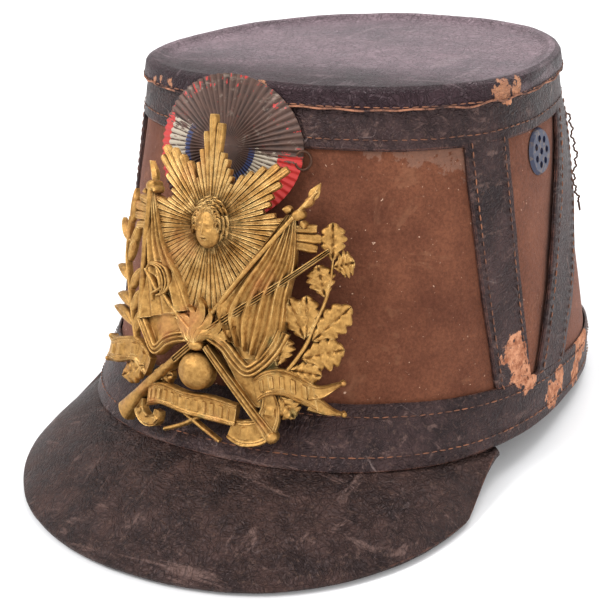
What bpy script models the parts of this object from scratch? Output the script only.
"""A low tapered shako: a felt wall bound with black leather, a drooping leather peak, a pleated
metal cockade and a stamped brass trophy plate.

Frame: metres, +Z up. The wearer faces -Y, and the wearer's left side is +X. Everything is modelled
upright on the hat's own axis and hung from one empty, which leans the hat back until its peak and
the rear of its bottom band stand on Z = 0.
"""

import bpy
import bmesh
from collections import namedtuple
from math import atan2, copysign, cos, pi, radians, sin, tan
from mathutils import Matrix, Vector

# Gap that touching pieces keep, and the leather and felt that they are cut from
SEAT = 0.0003
LEATHER = 0.0013
FELT = 0.0025

# Outline of the hat at three heights: foot of the bottom band, its upper edge, and the rim.
# side, front and rear are reaches from the hat's axis, and egg fills out the front of the outline.
Ring = namedtuple("Ring", "side front rear egg height slope")
FOOT = Ring(side=0.0879, front=0.1090, rear=0.0970, egg=0.0435, height=0.0, slope=0.0)
EDGE = Ring(side=0.0873, front=0.0922, rear=0.0898, egg=0.0099, height=0.015, slope=-0.040)
RIM = Ring(side=0.0723, front=0.0653, rear=0.0771, egg=0.10, height=0.118, slope=0.0236)
SQUARENESS = 2.3
FOOT_WAVE = 0.0024
AROUND = 64

# Leather top, its lip and the two bands
LIP_DROP = 0.0065
TOP_BAND_DROP = 0.0197
RIM_ROLL = 0.0008
TOP_SINK = 0.0012
ROLL_WIDTH = 0.0035
WALL_STOP = 0.0024
TOP_CENTRE_SHARE = 0.3
TOP_UNDERSIDE_SHARE = 0.96

# Levels on the wall, from 0 at the foot to 1 at the bottom band's upper edge
FELT_FOOT_LEVEL = 0.3
BOTTOM_BAND_TOP = 0.985

# Peak
REST_TILT = radians(5.0)
PEAK_HALF_WIDTH = 0.0828
PEAK_SHOULDER = 0.0720
PEAK_REACH = 0.0796
PEAK_ROUNDNESS = 2.15
PEAK_THICKNESS = 0.0026
PEAK_BULGE = 0.0030
PEAK_ROOT_ANGLE = radians(64.0)
PEAK_HORN = 0.10
PEAK_TUCK = 0.0035
PEAK_PROUD = 0.0003
PEAK_DROP_AT_ROOT = 0.0011

# Side straps, as angles round the hat at the top band and at the bottom band
Strap = namedtuple("Strap", "top_from top_to foot_from foot_to")
STRAPS = {
    "front": Strap(top_from=51.5, top_to=68.0, foot_from=62.0, foot_to=73.6),
    "rear": Strap(top_from=95.7, top_to=112.0, foot_from=74.8, foot_to=86.4),
}

# Ventilation discs
VENT_ANGLE = radians(84.6)
VENT_DROP = 0.0285
VENT_RADIUS = 0.0082
VENT_THICKNESS = 0.0012
VENT_FACE_SHARE = 0.9
VENT_HOLE = 0.00125
VENT_HOLE_CIRCLE = 0.0046
VENT_HOLES = 7

# Cockade
COCKADE_HALF_WIDTH = 0.0280
COCKADE_HALF_HEIGHT = 0.0245
COCKADE_SHIFT = -0.0100
COCKADE_DROP = 0.0225
COCKADE_STAND_OFF = 0.0044
COCKADE_THICKNESS = 0.0007
PLEATS = 36
COCKADE_RINGS = (0.12, 0.5, 1.0)
PLEAT_DEPTH = 0.0007

# Trophy plate: points on it are in hundredths of its height, across and up from its foot
PLATE_HEIGHT = 0.105
PLATE_CURVE = 0.085
PLATE_SHIFT = -0.002
PLATE_FOOT_REACH = FOOT.front
PLATE_FOOT_HEIGHT = 0.010
PLATE_LEAN = radians(15.8)
PLATE_ROLL = radians(3.5)
PLATE_BACK = -0.0008
PIN_RADIUS = 0.0012

# Iron wires
WIRE_RADIUS = 0.0006
HOOK_RADIUS = 0.0004
HOOK_BEND = 0.0022
HOOK_INSET = 0.0010
HOOK_DROP = 0.0060
EYE_RADIUS = 0.0024
# Route of the wire with the eye: drop below the rim, angle round the hat in degrees, and lift
WIRE_ROUTE = (
    (0.0212, 114.6, 0.0012), (0.027, 114.8, 0.0040), (0.034, 114.0, 0.0038), (0.041, 114.8, 0.0048),
    (0.047, 114.2, 0.0026), (0.053, 114.4, 0.0026), (0.058, 115.0, 0.0040),
)


def material(name, colour, roughness, metallic=0.0):
    made = bpy.data.materials.new(name)
    made.use_nodes = True
    surface = made.node_tree.nodes["Principled BSDF"]
    surface.inputs["Base Color"].default_value = (*colour, 1.0)
    surface.inputs["Roughness"].default_value = roughness
    surface.inputs["Metallic"].default_value = metallic
    made.diffuse_color = (*colour, 1.0)
    return made


def clear_scene():
    for found in list(bpy.data.objects):
        bpy.data.objects.remove(found, do_unlink=True)


def new_object(name, mesh, finish, hat):
    made = bpy.data.objects.new(name, mesh)
    bpy.context.scene.collection.objects.link(made)
    made.data.materials.append(finish)
    made.parent = hat
    return made


def mesh_of(name, points, faces):
    mesh = bpy.data.meshes.new(name)
    mesh.from_pydata([tuple(point) for point in points], [], faces)
    made = bmesh.new()
    made.from_mesh(mesh)
    bmesh.ops.recalc_face_normals(made, faces=made.faces)
    made.to_mesh(mesh)
    made.free()
    mesh.set_sharp_from_angle(angle=radians(40))
    return mesh


def loft(name, loops, wrap=False):
    """A closed solid through rings of equal length, wrapped into a tube wall or capped at both ends."""
    count = len(loops[0])
    points = [point for loop in loops for point in loop]
    faces = []
    last = len(loops) if wrap else len(loops) - 1
    for row in range(last):
        this, after = row * count, (row + 1) % len(loops) * count
        for column in range(count):
            beside = (column + 1) % count
            faces.append((this + column, this + beside, after + beside, after + column))
    if not wrap:
        faces.append(tuple(range(count)))
        faces.append(tuple(range((len(loops) - 1) * count, len(loops) * count)))
    return mesh_of(name, points, faces)


def plate_grid(name, front, back):
    """A closed solid between two grids of points of the same size."""
    rows, columns = len(front), len(front[0])
    points = [point for grid in (front, back) for row in grid for point in row]
    under = rows * columns
    faces = []
    for row in range(rows - 1):
        for column in range(columns - 1):
            corner = row * columns + column
            quad = (corner, corner + 1, corner + columns + 1, corner + columns)
            faces.append(quad)
            faces.append(tuple(under + index for index in reversed(quad)))
    edge = [column for column in range(columns)]
    edge += [row * columns + columns - 1 for row in range(1, rows)]
    edge += [(rows - 1) * columns + column for column in range(columns - 2, -1, -1)]
    edge += [row * columns for row in range(rows - 2, 0, -1)]
    for here, there in zip(edge, edge[1:] + edge[:1]):
        faces.append((there, here, under + here, under + there))
    return mesh_of(name, points, faces)


def power(value, exponent):
    return copysign(abs(value) ** (2.0 / exponent), value)


# Surface of the hat

def ring_point(ring, angle):
    """A point of an outline; angle 0 is the front and a quarter turn is the wearer's left."""
    across, along = sin(angle), cos(angle)
    reach = ring.front if along > 0 else ring.rear
    x = ring.side * power(across, SQUARENESS) * (1 + ring.egg * along)
    y = -reach * power(along, SQUARENESS)
    return Vector((x, y, ring.height + ring.slope * y))


def foot_point(angle):
    """The foot dips at the sides and rises over the peak; its rear stands on the floor."""
    point = ring_point(FOOT, angle)
    wave = cos(2 * angle) if cos(angle) > 0 else -sin(angle) ** 2
    point.z += FOOT_WAVE * wave
    return point


def knots(angle):
    return foot_point(angle), ring_point(EDGE, angle), ring_point(RIM, angle)


def wall_knots(angle, out):
    """The three outline points at this angle, moved out from the hat's surface by a distance."""
    step = 0.01
    foot, edge, rim = knots(angle)
    foot_next, edge_next, rim_next = knots(angle + step)
    foot_last, edge_last, rim_last = knots(angle - step)
    low = (edge_next - edge_last + foot_next - foot_last).cross(edge - foot).normalized()
    high = (edge_next - edge_last + rim_next - rim_last).cross(rim - edge).normalized()
    mitre = (low + high).normalized()
    return foot + low * out, edge + mitre * (out / mitre.dot(high)), rim + high * out


def wall(angle, level, out=0.0):
    """A point of the hat's wall: level 0 is the foot, 1 the bottom band's upper edge, 2 the rim."""
    foot, edge, rim = wall_knots(angle, out)
    return foot.lerp(edge, level) if level < 1 else edge.lerp(rim, level - 1)


def level_below_rim(angle, drop):
    _, edge, rim = knots(angle)
    return 2 - drop / (rim - edge).length


def angles():
    return [2 * pi * index / AROUND for index in range(AROUND)]


def wall_ring(out, level=None, drop=None):
    return [
        wall(angle, level_below_rim(angle, drop) if level is None else level, out)
        for angle in angles()
    ]


def top_ring(share, rise):
    """The rim's outline drawn in towards its centre, at a height over the rim's plane."""
    centre = Vector((0, (RIM.rear - RIM.front) / 2, 0))
    centre.z = RIM.height + RIM.slope * centre.y
    up = Vector((0, -RIM.slope, 1)).normalized()
    return [centre.lerp(ring_point(RIM, angle), share) + up * rise for angle in angles()]


# Outward places of the layers: the straps and bands lie on the felt, and the lip over the top band
STRAP_IN = -(LEATHER + SEAT)
FELT_OUT = STRAP_IN - SEAT
FELT_IN = FELT_OUT - FELT
BAND_IN = STRAP_IN
BAND_OUT = BAND_IN + LEATHER
LIP_IN = BAND_OUT + SEAT
LIP_OUT = LIP_IN + LEATHER


def crown_shell(finish, hat):
    loops = [
        wall_ring(FELT_OUT, level=FELT_FOOT_LEVEL),
        wall_ring(FELT_OUT, level=1.0),
        wall_ring(FELT_OUT, drop=WALL_STOP),
        wall_ring(FELT_IN, drop=WALL_STOP),
        wall_ring(FELT_IN, level=1.0),
        wall_ring(FELT_IN, level=FELT_FOOT_LEVEL),
    ]
    new_object("crown_shell", loft("crown_shell", loops, wrap=True), finish, hat)


def crown_top(finish, hat):
    rolled = 1 - ROLL_WIDTH / RIM.side
    sunk = rolled - ROLL_WIDTH / RIM.side
    under_rim = -(WALL_STOP - SEAT * 2)
    loops = [
        top_ring(TOP_CENTRE_SHARE, -TOP_SINK),
        top_ring(sunk, -TOP_SINK),
        top_ring(rolled, RIM_ROLL),
        top_ring(1.0, RIM_ROLL),
        wall_ring(LIP_OUT, drop=RIM_ROLL),
        wall_ring(LIP_OUT, drop=LIP_DROP),
        wall_ring(LIP_IN, drop=LIP_DROP),
        wall_ring(LIP_IN, drop=-under_rim),
        top_ring(sunk, under_rim),
        top_ring(sunk * TOP_UNDERSIDE_SHARE, -TOP_SINK - LEATHER),
        top_ring(TOP_CENTRE_SHARE, -TOP_SINK - LEATHER),
    ]
    new_object("crown_top", loft("crown_top", loops), finish, hat)


def band(name, high, low, finish, hat):
    loops = [
        wall_ring(BAND_OUT, **low),
        wall_ring(BAND_OUT, **high),
        wall_ring(BAND_IN, **high),
        wall_ring(BAND_IN, **low),
    ]
    new_object(name, loft(name, loops, wrap=True), finish, hat)


def strap(name, shape, side, finish, hat):
    """One strap of the V, following the wall between the two bands."""
    rows, columns = 9, 4
    grids = {STRAP_IN + LEATHER: [], STRAP_IN: []}
    for row in range(rows):
        share = row / (rows - 1)
        first = shape.top_from + (shape.foot_from - shape.top_from) * share
        last = shape.top_to + (shape.foot_to - shape.top_to) * share
        for out, grid in grids.items():
            line = []
            for column in range(columns):
                angle = side * radians(first + (last - first) * column / (columns - 1))
                top = level_below_rim(angle, TOP_BAND_DROP + 2 * SEAT)
                foot = 1 + 2 * SEAT / (RIM.height - EDGE.height)
                line.append(wall(angle, top + (foot - top) * share, out))
            grid.append(line)
    front, back = grids.values()
    new_object(name, plate_grid(name, front, back), finish, hat)


def floor_height(y):
    """Height of the floor under the hat, in the hat's upright frame."""
    return (y - FOOT.rear) * tan(REST_TILT)


def peak(finish, hat):
    """A leather flap from under the front of the bottom band to a lip that lies on the floor."""
    rows, columns = 6, 37
    lower, upper = [], []

    def under(share, along):
        root = foot_point(PEAK_ROOT_ANGLE * share)
        inward = Vector((root.x, root.y, 0)).normalized()
        root.z -= PEAK_THICKNESS + PEAK_DROP_AT_ROOT
        turn = share * pi / 2
        lip = Vector((PEAK_HALF_WIDTH * power(sin(turn), PEAK_ROUNDNESS), 0, 0))
        lip.y = -PEAK_SHOULDER - PEAK_REACH * power(max(cos(turn), 0), PEAK_ROUNDNESS)
        lip.z = floor_height(lip.y)
        horn = max(0.0, (abs(share) - 1 + PEAK_HORN) / PEAK_HORN)
        lip = lip.lerp(root + inward * PEAK_PROUD, horn ** 2 * (3 - 2 * horn))
        bulge = PEAK_BULGE * 4 * along * (1 - along) * (1 - share ** 4)
        return (root - inward * PEAK_TUCK).lerp(lip, along) + Vector((0, 0, bulge))

    step = 0.01
    for row in range(rows):
        along = row / (rows - 1)
        low_line, high_line = [], []
        for column in range(columns):
            share = -1 + 2 * column / (columns - 1)
            inner = min(max(share, step - 1), 1 - step)
            across = under(inner + step, along) - under(inner - step, along)
            outward = under(share, min(along + step, 1)) - under(share, max(along - step, 0))
            normal = outward.cross(across).normalized()
            if normal.z < 0:
                normal = -normal
            point = under(share, along)
            low_line.append(point)
            high_line.append(point + normal * PEAK_THICKNESS)
        lower.append(low_line)
        upper.append(high_line)
    new_object("peak", plate_grid("peak", upper, lower), finish, hat)


def vent(name, side, finish, hat):
    """A thin painted disc with a ring of small holes round a middle one."""
    angle = side * VENT_ANGLE
    level = level_below_rim(angle, VENT_DROP)
    centre = wall(angle, level, FELT_OUT + SEAT)
    outward = (wall(angle, level, FELT_OUT + 2 * SEAT) - centre).normalized()
    up = (wall(angle, level + 0.01, FELT_OUT + SEAT) - centre).normalized()
    turn = Matrix((outward.cross(up) * -1, up, outward)).transposed().to_4x4()
    place = Matrix.Translation(centre) @ turn

    disc = bmesh.new()
    made = bmesh.ops.create_cone(
        disc,
        cap_ends=True,
        segments=32,
        radius1=VENT_RADIUS,
        radius2=VENT_RADIUS * VENT_FACE_SHARE,
        depth=VENT_THICKNESS,
        matrix=place @ Matrix.Translation((0, 0, VENT_THICKNESS / 2)),
    )
    bmesh.ops.recalc_face_normals(disc, faces=disc.faces)
    mesh = bpy.data.meshes.new(name)
    disc.to_mesh(mesh)
    disc.free()
    vent_disc = new_object(name, mesh, finish, hat)

    drills = bmesh.new()
    spots = [(0.0, 0.0)]
    for hole in range(VENT_HOLES):
        around = 2 * pi * hole / VENT_HOLES
        spots.append((VENT_HOLE_CIRCLE * cos(around), VENT_HOLE_CIRCLE * sin(around)))
    for x, y in spots:
        bmesh.ops.create_cone(
            drills,
            cap_ends=True,
            segments=10,
            radius1=VENT_HOLE,
            radius2=VENT_HOLE,
            depth=VENT_THICKNESS * 4,
            matrix=place @ Matrix.Translation((x, y, VENT_THICKNESS / 2)),
        )
    bmesh.ops.recalc_face_normals(drills, faces=drills.faces)
    drill_mesh = bpy.data.meshes.new(name + "_drills")
    drills.to_mesh(drill_mesh)
    drills.free()
    cutter = new_object(name + "_drills", drill_mesh, finish, hat)
    cutter.hide_render = True
    cutter.display_type = "WIRE"
    cut = vent_disc.modifiers.new("holes", "BOOLEAN")
    cut.operation = "DIFFERENCE"
    cut.solver = "EXACT"
    cut.object = cutter


# Cockade and plate stand off the front of the crown on curved sheets

def curved_sheet(across, up, out, shift, reach, height, lean, roll=0.0):
    """A point of a sheet bent round the plate's curve, leaning back from its foot."""
    u = across * cos(roll) - up * sin(roll)
    v = across * sin(roll) + up * cos(roll)
    turn = u / PLATE_CURVE
    x = (PLATE_CURVE + out) * sin(turn)
    y = PLATE_CURVE - (PLATE_CURVE + out) * cos(turn)
    return Vector((
        shift + x,
        -reach + y * cos(lean) + v * sin(lean),
        height - y * sin(lean) + v * cos(lean),
    ))


def cockade_point(across, up, out):
    _, edge, rim = knots(0)
    centre = wall(0, level_below_rim(0, COCKADE_DROP), BAND_OUT + COCKADE_STAND_OFF)
    lean = atan2(rim.y - edge.y, rim.z - edge.z)
    return curved_sheet(across, up, out, COCKADE_SHIFT, -centre.y, centre.z, lean)


def cockade(finish, hat):
    """A thin sheet-metal disc pressed into radial pleats round a small flat boss."""
    count = PLEATS * 2

    def loop(share, out):
        line = []
        for index in range(count):
            turn = 2 * pi * index / count
            ridge = (PLEAT_DEPTH if index % 2 else 0) * (0 if share == COCKADE_RINGS[0] else share)
            x = COCKADE_HALF_WIDTH * share * cos(turn)
            y = COCKADE_HALF_HEIGHT * share * sin(turn)
            line.append(cockade_point(x, y, out + ridge))
        return line

    loops = [loop(share, 0) for share in COCKADE_RINGS]
    loops += [loop(share, -COCKADE_THICKNESS) for share in reversed(COCKADE_RINGS)]
    new_object("cockade", loft("cockade", loops), finish, hat)


def plate_point(u, v, out):
    """A point of the plate while it is still a flat blank."""
    unit = PLATE_HEIGHT / 100
    return Vector((u * unit, v * unit, out))


def bent(point):
    """Where a point of the flat blank comes to lie once the plate is bent and set on the hat."""
    return curved_sheet(
        *point, PLATE_SHIFT, PLATE_FOOT_REACH, PLATE_FOOT_HEIGHT, PLATE_LEAN, PLATE_ROLL
    )


def relief(rows, heights, back=PLATE_BACK):
    """A raised piece of the plate: rows are pairs of edge points, heights run from edge to edge."""
    columns = len(heights)
    front, rear = [], []
    for first, last in rows:
        line_front, line_rear = [], []
        for column, height in enumerate(heights):
            share = column / (columns - 1)
            u = first[0] + (last[0] - first[0]) * share
            v = first[1] + (last[1] - first[1]) * share
            line_front.append(plate_point(u, v, height))
            line_rear.append(plate_point(u, v, back))
        front.append(line_front)
        rear.append(line_rear)
    return plate_grid("relief", front, rear)


def spine(points, widths, heights, back=PLATE_BACK):
    """A raised strip along a line of points, as wide at each as the widths say."""
    rows = []
    for index, (u, v) in enumerate(points):
        before = points[max(index - 1, 0)]
        after = points[min(index + 1, len(points) - 1)]
        along = Vector((after[0] - before[0], after[1] - before[1])).normalized()
        half = widths[index] / 2
        rows.append(((u - along.y * half, v + along.x * half), (u + along.y * half, v - along.x * half)))
    return relief(rows, heights, back)


def leaf(base, tip, width, height=0.0016):
    shares = (0.0, 0.25, 0.6, 1.0)
    spread = (0.35, 0.9, 1.0, 0.12)
    points = [
        (base[0] + (tip[0] - base[0]) * share, base[1] + (tip[1] - base[1]) * share)
        for share in shares
    ]
    return spine(points, [width * part for part in spread], (0.0002, height, 0.0002))


FACE = (0.5, 63.0)
FACE_WIDTH = 6.0
FACE_HEIGHT = 7.5
FACE_RISE = 0.0045
GRENADE = (-1.0, 18.0)
GRENADE_RADIUS = 6.2
GRENADE_RISE = 0.0050
# Rays of the sunburst: angle from +X in degrees, and length in hundredths
RAYS = (
    (92, 34.4), (98, 32.5), (86, 31.0), (103, 22.0), (79, 22.0), (109, 15.5), (72, 18.0),
    (133, 33.5), (126, 27.5), (119, 22.0), (140, 26.5), (148, 18.5),
    (40, 32.0), (48, 26.0), (57, 19.0), (33, 25.5), (24, 21.0),
    (155, 19.0), (161, 24.3), (168, 38.0), (174, 37.5), (180, 36.0),
    (13, 24.0), (4, 34.5), (-2, 36.2), (-8, 34.7), (-16, 26.0),
    (192, 26.0), (214, 25.0), (236, 25.0), (258, 24.0), (280, 24.0), (302, 24.0), (324, 24.0),
)
# Leaves as base, tip and width
LAUREL_STEM = ((-30, 24), (-34, 34), (-37.5, 43), (-40.3, 50), (-40, 58), (-40.2, 64))
LAUREL = (
    ((-40.5, 61.5), (-38.5, 73.5), 4.2), ((-40, 56), (-48.3, 63.5), 4.0),
    ((-39.6, 54), (-33.8, 62.5), 4.0), ((-38.5, 44), (-49, 48), 4.2),
    ((-36.5, 40), (-29.5, 48), 4.0), ((-34.5, 34.5), (-47, 38), 4.4),
    ((-34, 33), (-29.5, 41), 4.2), ((-32.5, 28.5), (-49.5, 33.5), 4.6),
    ((-31, 26.5), (-29, 34), 4.6),
)
OAK_STEM = ((28, 20), (33.5, 28.5), (36.2, 36), (38.7, 42.5), (40, 49), (40.5, 56))
OAK = (
    ((40.4, 55), (39.6, 67), 7.0), ((40.3, 54), (46.5, 55), 8.0), ((39, 44.5), (36, 53.5), 7.5),
    ((33.5, 31), (27.5, 43), 7.5), ((34, 31.5), (33.3, 44), 7.0), ((35.5, 30.5), (46.8, 41.8), 8.5),
    ((32.5, 25), (45.4, 28.6), 9.0), ((29, 21.5), (39, 20.3), 7.0), ((25.5, 22), (26, 31.5), 7.5),
    ((27, 13), (31.5, 7), 7.0), ((-23, 17), (-36, 12), 6.5), ((-20, 15), (-10.5, 15.5), 6.0),
)
LEFT_FLAG = (((-26.2, 72.5), (-24.6, 72.5)), ((-28.3, 57), (-15, 53)), ((-27.5, 42), (-9.5, 45)),
             ((-26.6, 31.5), (-3.5, 37.0)))
RIGHT_FLAG = (((26.2, 67.5), (28.6, 67.5)), ((17.0, 56.0), (29.5, 52.0)), ((9.0, 46.0), (28.0, 44.0)),
              ((4.5, 38.5), (27.0, 30.0)), ((10.5, 27.5), (21.5, 22.0)))
LEFT_FOLD = ((-25.5, 31.5), (-18, 23.5), (-8.5, 28.5), (-1, 28.5))
RIGHT_FOLD = ((0, 29), (9, 25.5), (16, 20.5), (21.5, 24), (26, 31.5))
RIFLE = ((38.6, 57.8), (8.3, 35.1), (-0.3, 28.1), (-18.8, 12.7), (-31.5, 1.2))
SABRE = ((-23.5, 48.0), (-15.5, 40.1), (0, 28.0), (22.1, 5.0), (25.7, -0.3))
RIBBON_LEFT = (((-44.5, 22.5), (-46, 15.0)), ((-37.5, 24.0), (-38.5, 15.5)), ((-29.5, 24.8), (-30, 17.0)),
               ((-20.5, 20.5), (-25.5, 14.5)))
RIBBON_MIDDLE = (((-19.5, 10.8), (-19.8, 4.2)), ((-13.5, 12.2), (-14, 5.4)), ((-4.5, 10.7), (-4, 3.9)),
                 ((5, 10.6), (5.4, 3.2)), ((14, 8.8), (13.4, 2.6)))
RIBBON_RIGHT = (((18, 17.5), (20, 10.8)), ((22, 20.4), (23.5, 12.8)), ((27, 21.3), (28, 13.0)),
                ((32, 20), (33, 11.0)), ((38, 17.6), (40, 9.2)), ((44.5, 18.5), (45.5, 9.0)))
CURL_LEFT = (((-24.5, 5), (-19, 4.2)), ((-23.8, 0.5), (-15, 3.5)), ((-20, -1.6), (-15.5, -1)))
CURL_RIGHT = (((9.3, 5.0), (25, 11.5)), ((9.3, 1.2), (26.5, 6.0)), ((11.5, -2.2), (25.0, -1.0)))
STEMS = (((-12.8, -2.3), (1, 4.6)), ((-4.8, 3.8), (8.0, -3.0)))
PINS = ((-10.0, 56.0), (10.0, 56.0), (-22.0, 22.0), (22.0, 24.0))
FLAG_FOLDS = (0.0008, 0.0026, 0.0013, 0.0030, 0.0014, 0.0026, 0.0008)
ROD = (0.0006, 0.0040, 0.0040, 0.0006)


def boss(centre, across, up, rise, segments=16):
    """A dome of the plate, closed behind, as wide and high as its half sizes say."""
    loops = []
    for share in (0.0, 0.35, 0.65, 0.88):
        spread, lift = cos(share * pi / 2), sin(share * pi / 2)
        loops.append([
            plate_point(
                centre[0] + across * spread * cos(2 * pi * index / segments),
                centre[1] + up * spread * sin(2 * pi * index / segments),
                rise * lift,
            )
            for index in range(segments)
        ])
    base = [
        plate_point(
            centre[0] + across * cos(2 * pi * index / segments),
            centre[1] + up * sin(2 * pi * index / segments),
            PLATE_BACK,
        )
        for index in range(segments)
    ]
    return loft("boss", [base] + loops)


def sun_ray(angle, length):
    turn = radians(angle)
    along = Vector((cos(turn), sin(turn)))
    start = Vector(FACE) + along * 4.0
    end = Vector(FACE) + along * length
    half = 0.062 * length if length < 28 else 0.055 * length
    return spine([tuple(start), tuple(start.lerp(end, 0.93)), tuple(end)], (1.2, half * 1.7, half * 0.8),
                 (0.0004, 0.0013, 0.0004))


def plate_pin(u, v):
    """A pin on the plate's back that reaches the felt, by which the plate is held."""
    reach = 0.0
    while wall_depth(bent(plate_point(u, v, PLATE_BACK - reach))) > SEAT:
        reach += SEAT / 3
    pin = bmesh.new()
    bmesh.ops.create_cone(
        pin, cap_ends=True, segments=8, radius1=PIN_RADIUS, radius2=PIN_RADIUS, depth=reach,
        matrix=Matrix.Translation(plate_point(u, v, -reach / 2)),
    )
    bmesh.ops.recalc_face_normals(pin, faces=pin.faces)
    mesh = bpy.data.meshes.new("pin")
    pin.to_mesh(mesh)
    pin.free()
    return mesh


def wall_depth(point):
    """Distance of a point in front of the felt wall, measured forward."""
    best = None
    for step in range(-60, 61, 2):
        angle = radians(step)
        _, edge, rim = wall_knots(angle, FELT_OUT)
        share = (point.z - edge.z) / (rim.z - edge.z)
        on_wall = edge.lerp(rim, share)
        apart = abs(on_wall.x - point.x)
        if best is None or apart < best[0]:
            best = (apart, on_wall.y)
    return best[1] - point.y


def trophy_plate(finish, hat):
    """The stamped plate: its raised pieces are united into one solid."""
    pieces = [boss(FACE, 12.0, 12.0, 0.0010, 18)]
    pieces += [sun_ray(angle, length) for angle, length in RAYS]
    pieces += [relief(rows, FLAG_FOLDS) for rows in (LEFT_FLAG, RIGHT_FLAG)]
    pieces.append(spine(LEFT_FOLD, (3.5, 4.5, 4.5, 3.5), (0.0010, 0.0030, 0.0016, 0.0034, 0.0010)))
    pieces.append(spine(RIGHT_FOLD, (3.5, 4.5, 5.0, 4.5, 3.0), (0.0010, 0.0030, 0.0016, 0.0034, 0.0010)))
    pieces.append(spine(((-24.5, 79.5), (-25.4, 72), (-25.8, 30)), (1.2, 1.6, 1.6), (0.0006, 0.0030, 0.0006)))
    pieces.append(spine(((34.6, 76.5), (27.8, 68), (1, 33)), (1.0, 1.6, 1.6), (0.0006, 0.0030, 0.0006)))
    pieces.append(leaf((-25, 72.5), (-26, 80), 3.4, 0.0034))
    pieces.append(leaf((29, 70), (34.8, 77), 3.8, 0.0034))
    pieces.append(spine(LAUREL_STEM, (1.6,) * 6, (0.0004, 0.0018, 0.0004)))
    pieces.append(spine(OAK_STEM, (1.8,) * 6, (0.0004, 0.0018, 0.0004)))
    pieces += [leaf(base, tip, width) for base, tip, width in LAUREL + OAK]
    pieces += [relief(rows, (0.0016, 0.0010, 0.0010, 0.0016))
               for rows in (RIBBON_LEFT, RIBBON_MIDDLE, RIBBON_RIGHT, CURL_LEFT, CURL_RIGHT)]
    pieces += [spine(points, (1.3, 1.3), (0.0004, 0.0014, 0.0004)) for points in STEMS]
    pieces.append(spine(SABRE, (1.6, 1.5, 1.8, 2.2, 2.6), ROD))
    pieces.append(spine(RIFLE, (1.4, 2.2, 2.6, 3.0, 7.5), ROD))
    pieces.append(boss((-20.0, 46.0), 4.0, 3.2, 0.0040, 12))
    pieces += [leaf((-1.0, 25.0), tip, width, 0.0042)
               for tip, width in (((-7, 38.5), 5.0), ((-0.5, 45.5), 6.0), ((7.0, 37.5), 5.0))]
    pieces.append(boss(GRENADE, GRENADE_RADIUS, GRENADE_RADIUS, GRENADE_RISE, 16))
    pieces.append(boss((FACE[0], FACE[1] + 1.5), FACE_WIDTH * 1.15, FACE_HEIGHT * 1.0, FACE_RISE * 0.7, 12))
    pieces.append(boss(FACE, FACE_WIDTH * 0.75, FACE_HEIGHT, FACE_RISE, 12))
    pieces += [plate_pin(u, v) for u, v in PINS]

    blank = unite("plate_blank", pieces)
    flat = bmesh.new()
    flat.from_mesh(blank)
    bmesh.ops.triangulate(flat, faces=flat.faces)
    for vertex in flat.verts:
        vertex.co = bent(vertex.co)
    flat.to_mesh(blank)
    flat.free()
    blank.set_sharp_from_angle(angle=radians(40))
    new_object("trophy_plate", blank, finish, hat)


def unite(name, meshes):
    """One closed mesh out of several that overlap."""
    group = bpy.data.collections.new(name)
    helpers = [bpy.data.objects.new(f"{name}_{index}", mesh) for index, mesh in enumerate(meshes)]
    for helper in helpers[1:]:
        group.objects.link(helper)
    bpy.context.scene.collection.objects.link(helpers[0])
    join = helpers[0].modifiers.new("join", "BOOLEAN")
    join.operation = "UNION"
    join.solver = "MANIFOLD"
    join.operand_type = "COLLECTION"
    join.collection = group
    bpy.context.scene.collection.children.link(group)
    graph = bpy.context.evaluated_depsgraph_get()
    united = bpy.data.meshes.new_from_object(helpers[0].evaluated_get(graph))
    united.name = name
    for helper in helpers:
        bpy.data.objects.remove(helper, do_unlink=True)
    bpy.data.collections.remove(group)
    united.materials.clear()
    return united


def wire(name, points, radius, finish, hat):
    curve = bpy.data.curves.new(name, "CURVE")
    curve.dimensions = "3D"
    curve.bevel_depth = radius
    curve.bevel_resolution = 2
    curve.use_fill_caps = True
    line = curve.splines.new("POLY")
    line.points.add(len(points) - 1)
    for spot, point in zip(line.points, points):
        spot.co = (*point, 1.0)
    made = bpy.data.objects.new(name, curve)
    bpy.context.scene.collection.objects.link(made)
    curve.materials.append(finish)
    made.parent = hat
    return made


def wire_eye(finish, hat):
    """A bent iron wire that hangs down the felt behind the rear strap and ends in an open eye."""
    points = [
        wall(radians(turn), level_below_rim(0, drop), FELT_OUT + lift)
        for drop, turn, lift in WIRE_ROUTE
    ]
    last_turn = radians(WIRE_ROUTE[-1][1])
    end = points[-1]
    down = (points[-1] - points[-2]).normalized()
    outward = (wall(last_turn, 1.5, 0.01) - wall(last_turn, 1.5)).normalized()
    side = down.cross(outward).normalized()
    middle = end + down * EYE_RADIUS
    for step in range(1, 11):
        turn = 1.75 * pi * step / 11
        points.append(middle - down * EYE_RADIUS * cos(turn) + side * EYE_RADIUS * sin(turn))
    wire("wire_eye", points, WIRE_RADIUS, finish, hat)


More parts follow.
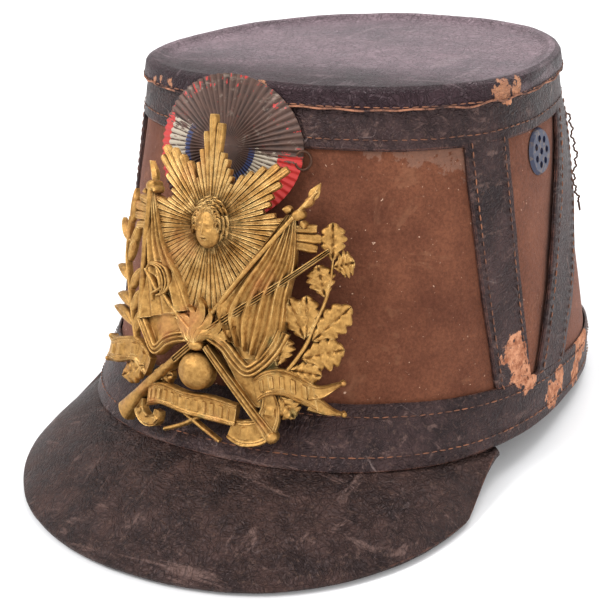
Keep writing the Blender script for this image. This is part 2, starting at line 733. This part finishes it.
def cockade_hook(finish, hat):
    """A small wire hook that lies on the cockade's edge on the wearer's left."""
    lift = PLEAT_DEPTH + 2 * SEAT + HOOK_RADIUS
    points = []
    for step in range(9):
        turn = radians(100 - 250 * step / 8)
        points.append(cockade_point(
            COCKADE_HALF_WIDTH - HOOK_INSET + HOOK_BEND * cos(turn),
            -HOOK_DROP + HOOK_BEND * sin(turn),
            lift,
        ))
    wire("cockade_hook", points, HOOK_RADIUS, finish, hat)


def stand_on_floor(hat):
    """Leans the hat back and puts the middle of its footprint at the origin, on Z = 0."""
    hat.rotation_euler.x = -REST_TILT
    bpy.context.view_layer.update()
    graph = bpy.context.evaluated_depsgraph_get()
    corners = []
    for found in hat.children:
        if found.hide_render:
            continue
        shape = found.evaluated_get(graph)
        mesh = shape.to_mesh()
        corners += [shape.matrix_world @ vertex.co for vertex in mesh.vertices]
        shape.to_mesh_clear()
    low = [min(corner[axis] for corner in corners) for axis in range(3)]
    high = [max(corner[axis] for corner in corners) for axis in range(3)]
    hat.location = (-(low[0] + high[0]) / 2, -(low[1] + high[1]) / 2, -low[2])


clear_scene()
hat_empty = bpy.data.objects.new("hat", None)
bpy.context.scene.collection.objects.link(hat_empty)

felt = material("brown_felt", (0.23, 0.10, 0.055), 0.9)
leather = material("black_leather", (0.035, 0.025, 0.024), 0.55)
top_leather = material("top_leather", (0.09, 0.075, 0.085), 0.45)
brass = material("brass", (0.55, 0.36, 0.13), 0.35, 1.0)
dark_iron = material("dark_iron", (0.05, 0.035, 0.03), 0.6, 0.8)
worn_paint = material("worn_paint", (0.09, 0.06, 0.055), 0.6, 0.3)
blue_paint = material("blue_paint", (0.03, 0.06, 0.10), 0.5)

crown_shell(felt, hat_empty)
crown_top(top_leather, hat_empty)
band("top_band", {"drop": WALL_STOP}, {"drop": TOP_BAND_DROP}, leather, hat_empty)
band("bottom_band", {"level": BOTTOM_BAND_TOP}, {"level": 0.0}, leather, hat_empty)
peak(leather, hat_empty)
for side_name, side_sign in (("left", 1), ("right", -1)):
    for strap_name, strap_shape in STRAPS.items():
        strap(f"strap_{side_name}_{strap_name}", strap_shape, side_sign, leather, hat_empty)
    vent(f"vent_{side_name}", side_sign, blue_paint, hat_empty)
cockade(worn_paint, hat_empty)
cockade_hook(dark_iron, hat_empty)
trophy_plate(brass, hat_empty)
wire_eye(dark_iron, hat_empty)
stand_on_floor(hat_empty)
